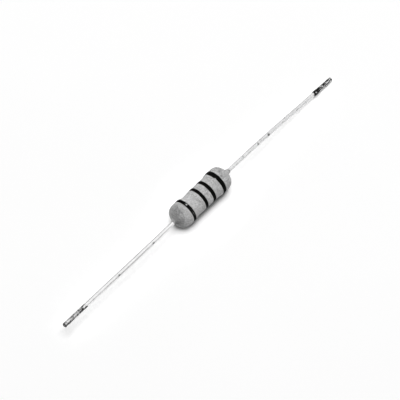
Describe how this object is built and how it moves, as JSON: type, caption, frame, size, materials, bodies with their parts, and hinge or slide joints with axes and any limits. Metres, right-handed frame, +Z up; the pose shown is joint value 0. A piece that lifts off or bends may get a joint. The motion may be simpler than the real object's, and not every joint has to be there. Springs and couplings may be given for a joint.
{
  "type": "metal oxide resistor",
  "caption": "Axial film resistor: grey coated body, swollen over its end caps and ringed with black bands, with a thin tinned wire leaving each end.",
  "frame": {"origin": "middle of the coated body, on its axis", "axes": "+X along the body's axis towards the wire that bends down to the surface, +Z up from the surface that it lies on"},
  "size_m": [0.0757, 0.0051, 0.005],
  "materials": {
    "ceramic": "matt",
    "oxide": "satin",
    "cap_metal": "tinned",
    "wire_metal": "bright tinned",
    "coating": "matt",
    "band_paint": "matt"
  },
  "bodies": {
    "root": {"ceramic_core": "ceramic", "oxide_film": "oxide", "end_cap_left": "cap_metal", "end_cap_right": "cap_metal", "lead_left": "wire_metal", "lead_right": "wire_metal", "coating": "coating", "band_1": "band_paint", "band_2": "band_paint", "band_3": "band_paint", "band_4": "band_paint"}
  },
  "joints": []
}
